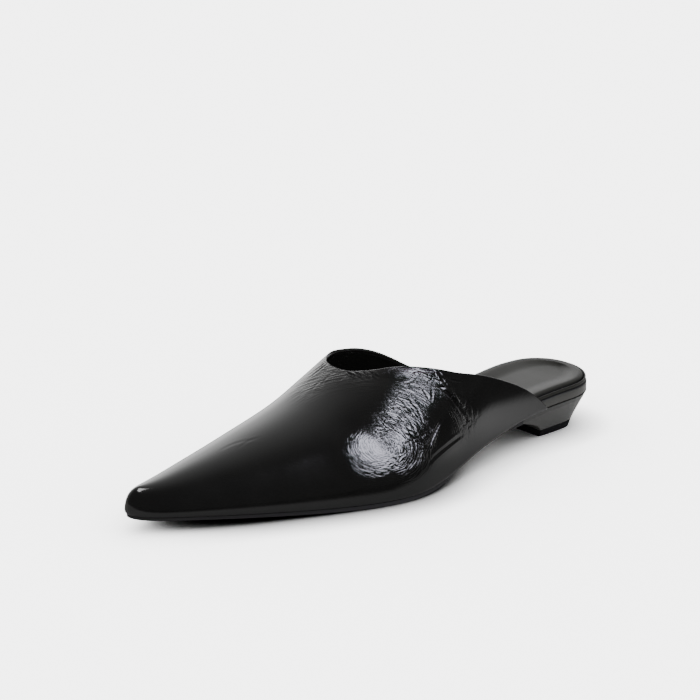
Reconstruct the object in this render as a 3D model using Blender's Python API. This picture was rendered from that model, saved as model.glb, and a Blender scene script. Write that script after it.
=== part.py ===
"""A pointed, low-heeled leather mule for the left foot, at its real size.

Metres, +Z up. The toe points to -Y, the outer (lateral) side of the foot is +X, and the origin is the
centre of the footprint's box on the floor.

The shoe is drawn from one outline, seen from above, and one profile, seen from the side. A place on the
outline is a turn: 0 at the toe tip, 1 at the back of the heel, positive along the outer side and negative
along the inner side. Every piece is cut from that outline, so all of them follow when a size changes.
"""

import math

import bmesh
import bpy
import numpy as np

# Driving sizes of the shoe
LENGTH = 0.2803  # toe tip to heel, along the upper's outline
BALL_WIDTH = 0.0780
SEAT_WIDTH = 0.0548  # across the heel, at the upper's outline
SEAT_ROUND = 0.0250  # length of the round back of the heel
SEAT_RISE = 0.0160  # climb of the waist from the tread to the heel
SEAT_TILT = 0.0018  # further climb to the back of the heel
WAIST_DIP = 0.0015  # how far the seat's seam hangs under that climb in front of the heel
TOE_SPRING = 0.0076
INSTEP_HEIGHT = 0.0582  # top of the upper at the throat, above the feather line

# Thicknesses and clearances
UPPER_WALL = 0.0015
SOLE_THICKNESS = 0.0022
SOLE_TOE_THICKNESS = 0.0016
BOARD_TOE_THICKNESS = 0.0016
BOARD_SEAT_THICKNESS = 0.0048
FOOTBED_EDGE = 0.0019  # height of the thin strip round the footbed
FOOTBED_TOE_EDGE = 0.0009
FOOTBED_ROLL = 0.0011  # height of the padded roll above that strip
FOOTBED_DISH = 0.0002  # how far the middle of the footbed lies above the strip
FOOTBED_GROOVE = 0.0007  # depth of the groove between the strip and the roll
GROOVE_PLACE = 0.0013  # distance of the groove from the footbed's edge
GROOVE_HALF_WIDTH = 0.0004
ROLL_CREST = 0.0042  # distance of the roll's crest from the edge
ROLL_END = 0.0150  # distance at which the roll has fallen to the dished middle
ROLL_ROWS = (0.0028, ROLL_CREST, 0.0055, 0.0068)  # distances at which the roll's surface has an edge
TOP_PIECE_THICKNESS = 0.0041
GAP = 0.0003

# How far each piece's edge lies inside the upper's outline
SOLE_INSET = 0.0010
SOLE_WAIST_INSET = 0.0046  # the sole is drawn in under the waist
HEEL_INSET = 0.0017
BOARD_INSET = UPPER_WALL + GAP
FOOTBED_INSET = BOARD_INSET + 0.0004
FOOTBED_TOE_INSET = 0.0016  # more at the toe, where the upper closes over the footbed
UPPER_TUCK = 0.0006  # the upper turns in this far at its lower edge
UPPER_TUCK_HEIGHT = 0.0020
EDGE_SOFTENING = 0.0004

# Lengthwise places, as shares of LENGTH from the toe
TREAD_FRONT = 0.4050
TREAD_BACK = 0.4618
WAIST_END = 0.8282
TILT_START = 0.7126
BREAST = 0.7779
WAIST_DIPS = (0.62, 0.74, 0.78, 0.90)  # where the dip begins, is full, eases and ends
WAIST_DRAWN_IN = (0.52, 0.64, 0.72, 0.77)  # the same for the sole's edge, which moves in and out again
BOARD_THICKENS = (0.56, 0.84)
TOE_SPRING_POWER = 1.6
FOOTBED_MIDDLE = (0.30, 0.65, 1.0)  # shares of the way from the last of those to the middle
HIDDEN_SHARE = 0.02  # what is left of the strip's and the roll's width in the forefoot

# The outline from above: share of LENGTH, then the outer and inner half widths as shares of the size named
OUTLINE = [
    (0.0000, BALL_WIDTH, -0.130, 0.130),
    (0.0238, BALL_WIDTH, -0.012, 0.220),
    (0.0594, BALL_WIDTH, 0.052, 0.262),
    (0.1379, BALL_WIDTH, 0.172, 0.331),
    (0.2277, BALL_WIDTH, 0.309, 0.387),
    (0.3176, BALL_WIDTH, 0.440, 0.424),
    (0.3976, BALL_WIDTH, 0.536, 0.432),
    (0.4667, BALL_WIDTH, 0.574, 0.408),
    (0.5260, BALL_WIDTH, 0.550, 0.368),
    (0.5952, BALL_WIDTH, 0.490, 0.328),
    (0.6770, BALL_WIDTH, 0.418, 0.306),
    (0.7669, SEAT_WIDTH, 0.518, 0.462),
    (0.8419, SEAT_WIDTH, 0.496, 0.490),
]
SEAT_ROUND_SHARES = (1.0, 0.62, 0.32, 0.10)

# The ridge over the instep: share of LENGTH, place across as a share of BALL_WIDTH, height above the feather
# line as a share of INSTEP_HEIGHT, and how full the section is on its outer and inner side. Behind the throat
# there is no ridge; it only guides the shape of the two sides.
RIDGE = [
    (0.0421, -0.118, 0.238, 2.00, 2.30),
    (0.0737, -0.115, 0.281, 2.00, 2.30),
    (0.1161, -0.112, 0.345, 2.00, 2.30),
    (0.1843, -0.110, 0.450, 2.00, 2.30),
    (0.2525, -0.108, 0.561, 2.00, 2.30),
    (0.3245, -0.105, 0.685, 2.00, 2.32),
    (0.3778, -0.103, 0.805, 2.00, 2.38),
    (0.4262, -0.100, 0.942, 2.00, 2.45),
    (0.4904, -0.100, 1.115, 2.00, 2.45),
    (0.5458, -0.098, 1.230, 2.00, 2.45),
    (0.6208, -0.092, 1.355, 2.00, 2.45),
    (0.6712, -0.085, 1.395, 2.00, 2.45),
    (0.7235, -0.075, 1.400, 2.00, 2.45),
    (0.7828, -0.060, 1.380, 2.00, 2.45),
    (0.8519, -0.040, 1.360, 2.00, 2.45),
]
THROAT = RIDGE[7][0]

# The topline behind the throat: share of LENGTH, height above the feather line as a share of INSTEP_HEIGHT
OUTER_TOPLINE = [
    (0.4304, 0.935),
    (0.4449, 0.943),
    (0.4712, 0.960),
    (0.5016, 0.963),
    (0.5336, 0.926),
    (0.5691, 0.854),
    (0.6104, 0.746),
    (0.6588, 0.628),
    (0.7106, 0.490),
    (0.7504, 0.370),
    (0.7901, 0.232),
    (0.8165, 0.118),
    (0.8375, 0.008),
]
INNER_TOPLINE = [
    (0.4302, 0.951),
    (0.4440, 0.967),
    (0.4624, 0.972),
    (0.4858, 0.957),
    (0.5076, 0.931),
    (0.5323, 0.895),
    (0.5564, 0.842),
    (0.5918, 0.737),
    (0.6271, 0.606),
    (0.6511, 0.514),
    (0.6900, 0.388),
    (0.7350, 0.274),
    (0.7780, 0.154),
    (0.8200, 0.008),
]
FULLNESS_BLEND = 0.20  # turn either side of the tip over which the two change over
NOSE_DEPTH = 0.0074  # how far the ridge starts behind the toe tip
NOSE_FADE = 0.105  # share of LENGTH over which that setback dies out

# The heel's footprint on the floor
FOOTPRINT_WIDTH = 0.0350
FOOTPRINT_BACK = 0.0100  # forward of the back of the heel seat
FOOTPRINT_LENGTH = 0.0300
FOOTPRINT_SQUARENESS = 2.5
FOOTPRINT_ROUND_SHARE = 0.62
CORNER_TIGHTNESS = 2.2  # how soon the footprint's sides run straight behind its front corners
BREAST_CURVE = 2.3
BREAST_FADE = 1.5  # how quickly the breast's curve dies out round the sides
HEEL_SIDE_CURVE = 1.12

# Mesh density
UPPER_FRONT_STEPS = 24
UPPER_BACK_STEPS = 26
UPPER_RISE_STEPS = 12
SLAB_STEPS = 44
SHARE_STEP = 1e-4  # for slopes
MERGE = 1e-6
HEEL_ARC_STEPS = 30
HEEL_BREAST_STEPS = 6
HEEL_RINGS = 8


def spline(places, values):
    """A natural cubic spline through the points, as a function."""
    x, y = np.asarray(places, float), np.asarray(values, float)
    step, rise = np.diff(x), np.diff(y) / np.diff(x)
    matrix, right = np.eye(len(x)), np.zeros(len(x))
    for i in range(1, len(x) - 1):
        matrix[i, i - 1 : i + 2] = step[i - 1], 2 * (step[i - 1] + step[i]), step[i]
        right[i] = 6 * (rise[i] - rise[i - 1])
    bend = np.linalg.solve(matrix, right)

    def value(at):
        i = int(np.clip(np.searchsorted(x, at) - 1, 0, len(x) - 2))
        a, b, h = x[i + 1] - at, at - x[i], step[i]
        curved = (bend[i] * a**3 + bend[i + 1] * b**3) / (6 * h)
        left, far = y[i] / h - bend[i] * h / 6, y[i + 1] / h - bend[i + 1] * h / 6
        return curved + left * a + far * b

    return value


def smooth_step(value):
    t = min(max(value, 0.0), 1.0)
    return t * t * (3 - 2 * t)


def share_of(turn):
    """Share of LENGTH at a turn. Turns crowd together at the toe and the heel, where the outline is round."""
    return (1 - math.cos(math.pi * abs(turn))) / 2


def turn_of(share):
    return math.acos(1 - 2 * min(max(share, 0.0), 1.0)) / math.pi


def outline_rows():
    """(turn, x) of the outline's drawn points, from the back of the heel round the inner side and back."""
    rows = [(turn_of(share), size * outer, -size * inner) for share, size, outer, inner in OUTLINE]
    for part in SEAT_ROUND_SHARES:
        half = SEAT_WIDTH / 2 * math.sqrt(1 - (1 - part) ** 2)
        rows.append((turn_of(1 - part * SEAT_ROUND / LENGTH), half, -half))
    inner = [(-turn, low) for turn, _, low in reversed(rows[1:])]
    outer = [(turn, high) for turn, high, _ in rows]
    return [(-1.0, 0.0), *inner, *outer, (1.0, 0.0)]


across = spline(*zip(*outline_rows()))
widths = [across(turn) for turn in np.linspace(-1, 1, 400)]
AXIS_X = -(max(widths) + min(widths)) / 2  # the heel's centre line, off the centre of the box
TIP_Y = -(LENGTH - BOARD_INSET) / 2


def outline(turn, inset=0.0):
    """(x, y) on the outline, moved inwards by inset. The outline closes on itself at the back of the heel."""
    low, high = turn - SHARE_STEP, turn + SHARE_STEP
    run_x = across(high - 2 if high > 1 else high) - across(low + 2 if low < -1 else low)
    run_y = LENGTH * (share_of(high) - share_of(low))
    size = math.hypot(run_x, run_y)
    x, y = across(turn), TIP_Y + LENGTH * share_of(turn)
    return x + AXIS_X - inset * run_y / size, y + inset * run_x / size


def sole_thickness(share):
    return SOLE_TOE_THICKNESS + (SOLE_THICKNESS - SOLE_TOE_THICKNESS) * smooth_step(share / TREAD_FRONT)


def hump(share, places):
    """0 outside the four places, 1 between the middle two."""
    start, full, ease, end = places
    return smooth_step((share - start) / (full - start)) * smooth_step((end - share) / (end - ease))


def feather(share):
    """Height of the feather line, where the upper meets the sole."""
    spring = max((TREAD_FRONT - share) / TREAD_FRONT, 0.0) ** TOE_SPRING_POWER
    climb = smooth_step((share - TREAD_BACK) / (WAIST_END - TREAD_BACK))
    tilt = max((share - TILT_START) / (1 - TILT_START), 0.0) ** 2
    rise = TOE_SPRING * spring + SEAT_RISE * climb + SEAT_TILT * tilt - WAIST_DIP * hump(share, WAIST_DIPS)
    return rise + sole_thickness(share) + GAP


ridge_places, *ridge_columns = zip(*RIDGE)
ridge_x, ridge_z, outer_fullness, inner_fullness = [spline(ridge_places, column) for column in ridge_columns]


def topline_curve(rows):
    """The topline's height. Its drawn points are spread by the root of their distance behind the throat,
    because the line leaves the throat straight across the foot."""
    places, heights = zip(*rows)
    return spline([0.0, *[math.sqrt(place - THROAT) for place in places]], [ridge_z(THROAT), *heights])


outer_topline, inner_topline = topline_curve(OUTER_TOPLINE), topline_curve(INNER_TOPLINE)


def ridge(share, depth):
    """(x, y, z) of the ridge that a section at this share of the outline rises to, depth below the skin."""
    place = share + NOSE_DEPTH / LENGTH * math.exp(-share / (NOSE_FADE / 2))
    x = AXIS_X + BALL_WIDTH * ridge_x(place)
    z = feather(share) + INSTEP_HEIGHT * ridge_z(place) - depth
    return x, TIP_Y + LENGTH * place, z


def fullness(turn):
    """How square the section is, blended from the inner to the outer side round the toe."""
    share = share_of(turn)
    outer = smooth_step(0.5 + turn / (2 * FULLNESS_BLEND))
    return inner_fullness(share) + (outer_fullness(share) - inner_fullness(share)) * outer


def ridge_slope(share):
    _, y, z = ridge(share, 0.0)
    _, next_y, next_z = ridge(share + SHARE_STEP, 0.0)
    return (next_z - z) / (next_y - y)


def is_open(turn):
    """Whether a section lies behind the throat, where the shoe is open above."""
    return share_of(turn) > THROAT + 1e-9


def top_angle(turn):
    """The section's angle at the upper's top edge: a right angle as far as the throat."""
    share = share_of(turn)
    if not is_open(turn):
        return math.pi / 2
    line = outer_topline if turn > 0 else inner_topline
    height = INSTEP_HEIGHT * max(line(math.sqrt(share - THROAT)), 0.0)
    reach = min(height / (ridge(share, 0.0)[2] - feather(share)), 1.0)
    return math.asin(reach ** (fullness(turn) / 2))


def upper_point(turn, rise, depth):
    """A point of the upper: rise goes from 0 at the feather line to 1 at the ridge or the topline."""
    share = share_of(turn)
    power = 2 / fullness(turn)
    angle = rise * top_angle(turn)
    out = max(math.cos(angle), 0.0) ** power
    up = max(math.sin(angle), 0.0) ** power
    top_x, top_y, top_z = ridge(share, depth)
    foot_z = feather(share)
    foot_y = outline(turn, depth)[1]
    leaning = ridge_slope(share) * (foot_y - top_y) * out * up**2
    z = foot_z + (top_z - foot_z) * up + leaning
    low = max(1 - (z - foot_z) / UPPER_TUCK_HEIGHT, 0.0)
    tuck = UPPER_TUCK * low**2 if depth == 0.0 else 0.0
    foot_x, foot_y = outline(turn, depth + tuck)
    return top_x + (foot_x - top_x) * out, top_y + (foot_y - top_y) * out, z


def upper_turns(side, end):
    """Turns of one side's sections behind the toe tip, close together at the throat."""
    throat, last = turn_of(THROAT), turn_of(end)
    front = [throat * i / UPPER_FRONT_STEPS for i in range(1, UPPER_FRONT_STEPS + 1)]
    back = []
    for i in range(1, UPPER_BACK_STEPS + 1):
        t = i / UPPER_BACK_STEPS
        back.append(throat + (last - throat) * t * t)
    return [side * turn for turn in front + back]


def material(name, colour, roughness, metallic=0.0):
    made = bpy.data.materials.new(name)
    made.use_nodes = True
    shader = made.node_tree.nodes["Principled BSDF"]
    shader.inputs["Base Color"].default_value = (*colour, 1.0)
    shader.inputs["Roughness"].default_value = roughness
    shader.inputs["Metallic"].default_value = metallic
    made.diffuse_color = (*colour, 1.0)
    return made


def finish_object(name, mesh_builder, finish, smooth_angle=35):
    """Turns a bmesh into a smooth-shaded object with its own material."""
    mesh = bpy.data.meshes.new(name)
    bmesh.ops.recalc_face_normals(mesh_builder, faces=mesh_builder.faces)
    mesh_builder.to_mesh(mesh)
    mesh_builder.free()
    mesh.materials.append(finish)
    mesh.shade_smooth()
    mesh.set_sharp_from_angle(angle=math.radians(smooth_angle))
    obj = bpy.data.objects.new(name, mesh)
    bpy.context.scene.collection.objects.link(obj)
    return obj


def build_upper(finish):
    """One hollow wall of leather, open along the topline and underneath."""
    bm = bmesh.new()
    turns = [*reversed(upper_turns(-1, INNER_TOPLINE[-1][0])), 0.0, *upper_turns(1, OUTER_TOPLINE[-1][0])]
    skins = []
    for depth in (0.0, UPPER_WALL):
        columns = []
        for turn in turns:
            rises = [j / UPPER_RISE_STEPS for j in range(UPPER_RISE_STEPS + 1)]
            columns.append([bm.verts.new(upper_point(turn, rise, depth)) for rise in rises])
        for first, second in zip(columns, columns[1:]):
            for j in range(UPPER_RISE_STEPS):
                bm.faces.new((first[j], second[j], second[j + 1], first[j + 1]))
        skins.append(columns)
    skin, lining = skins
    for i in range(len(turns) - 1):
        bm.faces.new((skin[i][0], lining[i][0], lining[i + 1][0], skin[i + 1][0]))
        if is_open(turns[i]) or is_open(turns[i + 1]):
            bm.faces.new((skin[i][-1], skin[i + 1][-1], lining[i + 1][-1], lining[i][-1]))
    for end in (0, -1):
        for j in range(UPPER_RISE_STEPS):
            bm.faces.new((skin[end][j], skin[end][j + 1], lining[end][j + 1], lining[end][j]))
    bmesh.ops.remove_doubles(bm, verts=bm.verts, dist=MERGE)
    return finish_object("upper", bm, finish)


def build_slab(name, finish, last, profile):
    """A layer of the sole, from the toe tip to the turn given. profile(turn) lists half a ring, from the
    middle of the underside round the edge to the middle of the top, as (inset, share of the way in, height)."""
    bm = bmesh.new()
    rings = []
    for turn in np.linspace(0, last, SLAB_STEPS + 1):
        half = profile(turn)
        ring = []
        for side in (1, -1):
            rows = half if side == 1 else list(reversed(half))[1:-1]
            for inset, inward, height in rows:
                x, y = outline(side * turn, inset)
                far_x, far_y = outline(-side * turn, inset)
                ring.append(bm.verts.new((
                    x + (far_x - x) * inward / 2,
                    y + (far_y - y) * inward / 2,
                    height,
                )))
        rings.append(ring)
    count = len(rings[0])
    for ring, following in zip(rings, rings[1:]):
        for j in range(count):
            k = (j + 1) % count
            bm.faces.new((ring[j], following[j], following[k], ring[k]))
    if last < 1:
        bm.faces.new(rings[-1])
    bmesh.ops.remove_doubles(bm, verts=bm.verts, dist=MERGE)
    return finish_object(name, bm, finish)


def sole_profile(turn):
    share = share_of(turn)
    top = feather(share) - GAP
    low = top - sole_thickness(share)
    edge = SOLE_INSET + (SOLE_WAIST_INSET - SOLE_INSET) * hump(share, WAIST_DRAWN_IN)
    soft = EDGE_SOFTENING
    return [
        (edge + soft, 1.0, low),
        (edge + soft, 0.5, low),
        (edge + soft, 0.0, low),
        (edge, 0.0, low + soft),
        (edge, 0.0, top),
        (edge, 0.5, top),
        (edge, 1.0, top),
    ]


def seat_blend(share):
    """0 in the forefoot, where the footbed lies flat under the upper, and 1 on the padded heel seat."""
    start, end = BOARD_THICKENS
    return smooth_step((share - start) / (end - start))


def board_top(share):
    more = BOARD_SEAT_THICKNESS - BOARD_TOE_THICKNESS
    return feather(share) + BOARD_TOE_THICKNESS + more * seat_blend(share)


def board_profile(turn):
    share = share_of(turn)
    low, top = feather(share), board_top(share)
    soft = EDGE_SOFTENING
    return [
        (BOARD_INSET, 1.0, low),
        (BOARD_INSET, 0.5, low),
        (BOARD_INSET, 0.0, low),
        (BOARD_INSET, 0.0, top - soft),
        (BOARD_INSET + soft, 0.0, top),
        (BOARD_INSET + soft, 0.5, top),
        (BOARD_INSET + soft, 1.0, top),
    ]


def roll_height(distance):
    """The padding above the strip at a distance from the footbed's edge: up to the crest, down to the dish."""
    climb = smooth_step((distance - GROOVE_PLACE) / (ROLL_CREST - GROOVE_PLACE))
    fall = smooth_step((distance - ROLL_CREST) / (ROLL_END - ROLL_CREST))
    return climb * (FOOTBED_ROLL + (FOOTBED_DISH - FOOTBED_ROLL) * fall)


def footbed_profile(turn):
    """A thin strip round the edge, a groove, then a padded roll that falls to a dished middle."""
    share = share_of(turn)
    seat = seat_blend(share)
    low = board_top(share) + GAP
    strip = low + FOOTBED_TOE_EDGE + (FOOTBED_EDGE - FOOTBED_TOE_EDGE) * seat
    edge = FOOTBED_INSET + FOOTBED_TOE_INSET * (1 - smooth_step(share / TREAD_BACK))
    reach = HIDDEN_SHARE + (1 - HIDDEN_SHARE) * seat
    groove_start, groove_end = GROOVE_PLACE - GROOVE_HALF_WIDTH, GROOVE_PLACE + GROOVE_HALF_WIDTH
    rows = [
        (edge, 1.0, low),
        (edge, 0.0, low),
        (edge, 0.0, strip),
        (edge + groove_start * reach, 0.0, strip),
        (edge + GROOVE_PLACE * reach, 0.0, strip - FOOTBED_GROOVE * seat),
        (edge + groove_end * reach, 0.0, strip + roll_height(groove_end) * seat),
    ]
    for distance in ROLL_ROWS:
        rows.append((edge + distance * reach, 0.0, strip + roll_height(distance) * seat))
    last = edge + ROLL_ROWS[-1] * reach
    x, y = outline(turn, last)
    far_x, far_y = outline(-turn, last)
    half_way = math.hypot(far_x - x, far_y - y) / 2
    for inward in FOOTBED_MIDDLE:
        distance = ROLL_ROWS[-1] + half_way * inward
        rows.append((last, inward, strip + roll_height(distance) * seat))
    return rows


def heel_top(turn):
    """(x, y, z) of the heel block's upper edge."""
    x, y = outline(turn, HEEL_INSET)
    return x, y, feather(share_of(turn)) - GAP


def heel_rings():
    """For each place round the heel: its top point, its point on the floor, and how the side curves."""
    first = turn_of(BREAST) + GAP / LENGTH
    places = []
    back_y = TIP_Y + LENGTH - HEEL_INSET - FOOTPRINT_BACK
    round_length = FOOTPRINT_LENGTH * FOOTPRINT_ROUND_SHARE
    for i in range(HEEL_ARC_STEPS + 1):
        t = i / HEEL_ARC_STEPS
        turn = first + (2 - 2 * first) * t
        side = 1 if turn <= 1 else -1
        top = heel_top(turn if turn <= 1 else turn - 2)
        angle = math.pi * (t - 0.5)  # -90 degrees at the outer front corner, 0 at the back
        power = 2 / FOOTPRINT_SQUARENESS
        straight = FOOTPRINT_LENGTH - round_length
        x = side * FOOTPRINT_WIDTH / 2 * abs(math.sin(angle)) ** power
        reach = max(math.cos(angle), 0.0)
        y = back_y - FOOTPRINT_LENGTH + straight * min(reach * CORNER_TIGHTNESS, 1.0) + round_length * reach ** power
        y = min(y, back_y)
        front = (1 - reach) ** BREAST_FADE
        places.append((top, (x + AXIS_X, y, 0.0), 1 + (BREAST_CURVE - 1) * front))
    (x0, y0, z0), (fx0, fy0, _), _ = places[-1]
    (x1, y1, z1), (fx1, fy1, _), _ = places[0]
    for i in range(1, HEEL_BREAST_STEPS):
        t = i / HEEL_BREAST_STEPS
        top = (x0 + (x1 - x0) * t, y0 + (y1 - y0) * t, z0 + (z1 - z0) * t)
        foot = (fx0 + (fx1 - fx0) * t, fy0 + (fy1 - fy0) * t, 0.0)
        places.append((top, foot, BREAST_CURVE))
    return places


def heel_point(place, height):
    """The heel's surface at a height. Only the breast keeps an upright lip, where the sole ends."""
    top, foot, curve = place
    start = top[2] - SOLE_THICKNESS * (curve - 1) / (BREAST_CURVE - 1)
    down = min(max(1 - height / start, 0.0), 1.0)
    y = foot[1] + (top[1] - foot[1]) * (1 - down) ** curve
    x = foot[0] + (top[0] - foot[0]) * (1 - down) ** HEEL_SIDE_CURVE
    return x, y, height


def ring_solid(name, finish, rings):
    """A closed solid through rings of points, with a face on each end."""
    bm = bmesh.new()
    made = [[bm.verts.new(point) for point in ring] for ring in rings]
    count = len(made[0])
    for ring, following in zip(made, made[1:]):
        for j in range(count):
            k = (j + 1) % count
            bm.faces.new((ring[j], following[j], following[k], ring[k]))
    caps = [bm.faces.new(made[0]), bm.faces.new(made[-1])]
    bmesh.ops.triangulate(bm, faces=caps)
    return finish_object(name, bm, finish)


def build_heel(finish):
    """The covered heel block: it tapers down and forward, and its breast is hollow."""
    places = heel_rings()
    low = TOP_PIECE_THICKNESS + GAP
    rings = [[top for top, _, _ in places]]
    for i in range(HEEL_RINGS):
        t = i / (HEEL_RINGS - 1)
        rings.append([
            heel_point(place, (place[0][2] - SOLE_THICKNESS) * (1 - t) + low * t) for place in places
        ])
    return ring_solid("heel_block", finish, rings)


def build_top_piece(finish):
    """The rubber lift that the heel stands on."""
    places = heel_rings()
    levels = (TOP_PIECE_THICKNESS, EDGE_SOFTENING, 0.0)
    rings = [[heel_point(place, level) for place in places] for level in levels]
    return ring_solid("top_piece", finish, rings)


def main():
    for obj in list(bpy.data.objects):
        bpy.data.objects.remove(obj)
    glossy = material("glossy_black_leather", (0.010, 0.010, 0.010), 0.12)
    heel_leather = material("heel_cover_leather", (0.020, 0.020, 0.018), 0.32)
    board_leather = material("board_cover_leather", (0.040, 0.040, 0.037), 0.40)
    footbed_leather = material("footbed_leather", (0.050, 0.050, 0.046), 0.45)
    sole_leather = material("sole_edge_black", (0.012, 0.012, 0.012), 0.50)
    lift_rubber = material("top_piece_rubber", (0.010, 0.010, 0.012), 0.60)
    build_upper(glossy)
    build_slab("outsole", sole_leather, turn_of(BREAST) - GAP / LENGTH, sole_profile)
    build_slab("insole_board", board_leather, 1, board_profile)
    build_slab("footbed", footbed_leather, 1, footbed_profile)
    build_heel(heel_leather)
    build_top_piece(lift_rubber)


main()
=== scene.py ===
# %% [markdown]
# A pointed, low-heeled mule in glossy black leather.
# This lesson dresses the plain solids of a shoe. The solids hold the sizes, and every new piece here is laid
# on the same shape, the maker's last. The file starts by loading them.

import math

import bmesh
import bpy
import numpy as np
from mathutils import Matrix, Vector
from mathutils.kdtree import KDTree


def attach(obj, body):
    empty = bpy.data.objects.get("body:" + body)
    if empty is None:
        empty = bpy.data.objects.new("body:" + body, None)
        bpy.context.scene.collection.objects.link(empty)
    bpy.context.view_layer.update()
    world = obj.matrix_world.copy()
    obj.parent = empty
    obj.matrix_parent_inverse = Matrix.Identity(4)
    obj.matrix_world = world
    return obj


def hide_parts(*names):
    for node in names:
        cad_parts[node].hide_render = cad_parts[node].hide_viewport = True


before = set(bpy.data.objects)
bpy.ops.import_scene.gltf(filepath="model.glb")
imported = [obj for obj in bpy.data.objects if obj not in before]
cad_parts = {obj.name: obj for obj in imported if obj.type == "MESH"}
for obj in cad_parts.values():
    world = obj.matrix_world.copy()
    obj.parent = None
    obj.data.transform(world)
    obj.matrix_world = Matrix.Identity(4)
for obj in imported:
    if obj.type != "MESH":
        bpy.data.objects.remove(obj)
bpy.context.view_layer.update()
print("solids:", sorted(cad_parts))

# %% [markdown]
# A last is the wooden foot that a shoe is made on. It is drawn from one outline seen from above and one ridge
# seen from the side. Both are short tables of shares of named sizes, so a shoe one size up needs one new
# number. The toe points to -Y, the outer side of the foot is +X and the floor is at zero, in metres.

# %% Sizes of the last
LENGTH = 0.2803  # toe tip to heel, along the upper's outline
BALL_WIDTH = 0.0780
SEAT_WIDTH = 0.0548
SEAT_ROUND = 0.0250  # length of the round back of the heel
SEAT_RISE = 0.0160
SEAT_TILT = 0.0018
TOE_SPRING = 0.0076
INSTEP_HEIGHT = 0.0582
UPPER_WALL = 0.0015
SOLE_THICKNESS = 0.0022
SOLE_TOE_THICKNESS = 0.0016
BOARD_TOE_THICKNESS = 0.0016
BOARD_SEAT_THICKNESS = 0.0048
GAP = 0.0003
BOARD_INSET = UPPER_WALL + GAP

# Lengthwise places, as shares of LENGTH from the toe
TREAD_FRONT = 0.4050
TREAD_BACK = 0.4618
WAIST_END = 0.8282
WAIST_DIP = 0.0015
WAIST_DIPS = (0.62, 0.74, 0.78, 0.90)
TILT_START = 0.7126
BOARD_THICKENS = (0.56, 0.84)
TOE_SPRING_POWER = 1.6
SHARE_STEP = 1e-4  # for slopes
print("length", LENGTH, "ball width", BALL_WIDTH)

# %% Outline from above
# Share of LENGTH, then the outer and inner half widths as shares of the size named
OUTLINE = [
    (0.0000, BALL_WIDTH, -0.130, 0.130),
    (0.0238, BALL_WIDTH, -0.012, 0.220),
    (0.0594, BALL_WIDTH, 0.052, 0.262),
    (0.1379, BALL_WIDTH, 0.172, 0.331),
    (0.2277, BALL_WIDTH, 0.309, 0.387),
    (0.3176, BALL_WIDTH, 0.440, 0.424),
    (0.3976, BALL_WIDTH, 0.536, 0.432),
    (0.4667, BALL_WIDTH, 0.574, 0.408),
    (0.5260, BALL_WIDTH, 0.550, 0.368),
    (0.5952, BALL_WIDTH, 0.490, 0.328),
    (0.6770, BALL_WIDTH, 0.418, 0.306),
    (0.7669, SEAT_WIDTH, 0.518, 0.462),
    (0.8419, SEAT_WIDTH, 0.496, 0.490),
]
SEAT_ROUND_SHARES = (1.0, 0.62, 0.32, 0.10)
print("outline:", len(OUTLINE), "sections and the round back of the heel")

# %% Ridge over the instep
# Share of LENGTH, place across, height above the feather line, fullness of the outer and of the inner side
RIDGE = [
    (0.0421, -0.118, 0.238, 2.00, 2.30),
    (0.0737, -0.115, 0.281, 2.00, 2.30),
    (0.1161, -0.112, 0.345, 2.00, 2.30),
    (0.1843, -0.110, 0.450, 2.00, 2.30),
    (0.2525, -0.108, 0.561, 2.00, 2.30),
    (0.3245, -0.105, 0.685, 2.00, 2.32),
    (0.3778, -0.103, 0.805, 2.00, 2.38),
    (0.4262, -0.100, 0.942, 2.00, 2.45),
    (0.4904, -0.100, 1.115, 2.00, 2.45),
    (0.5458, -0.098, 1.230, 2.00, 2.45),
    (0.6208, -0.092, 1.355, 2.00, 2.45),
    (0.6712, -0.085, 1.395, 2.00, 2.45),
    (0.7235, -0.075, 1.400, 2.00, 2.45),
    (0.7828, -0.060, 1.380, 2.00, 2.45),
    (0.8519, -0.040, 1.360, 2.00, 2.45),
]
THROAT = RIDGE[7][0]
FULLNESS_BLEND = 0.20
NOSE_DEPTH = 0.0074
NOSE_FADE = 0.105
print("ridge:", len(RIDGE), "sections, throat at", THROAT)

# %% Topline behind the throat
# Share of LENGTH, height above the feather line as a share of INSTEP_HEIGHT
OUTER_TOPLINE = [
    (0.4304, 0.935),
    (0.4449, 0.943),
    (0.4712, 0.960),
    (0.5016, 0.963),
    (0.5336, 0.926),
    (0.5691, 0.854),
    (0.6104, 0.746),
    (0.6588, 0.628),
    (0.7106, 0.490),
    (0.7504, 0.370),
    (0.7901, 0.232),
    (0.8165, 0.118),
    (0.8375, 0.008),
]
INNER_TOPLINE = [
    (0.4302, 0.951),
    (0.4440, 0.967),
    (0.4624, 0.972),
    (0.4858, 0.957),
    (0.5076, 0.931),
    (0.5323, 0.895),
    (0.5564, 0.842),
    (0.5918, 0.737),
    (0.6271, 0.606),
    (0.6511, 0.514),
    (0.6900, 0.388),
    (0.7350, 0.274),
    (0.7780, 0.154),
    (0.8200, 0.008),
]
print("topline:", len(OUTER_TOPLINE), "places outside,", len(INNER_TOPLINE), "inside")


# %% [markdown]
# A table gives a few sections, and the leather runs smoothly through them. A natural cubic spline does what a
# thin bent strip of wood does between pins. It is written for whole arrays, because a shoe needs many points.

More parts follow.
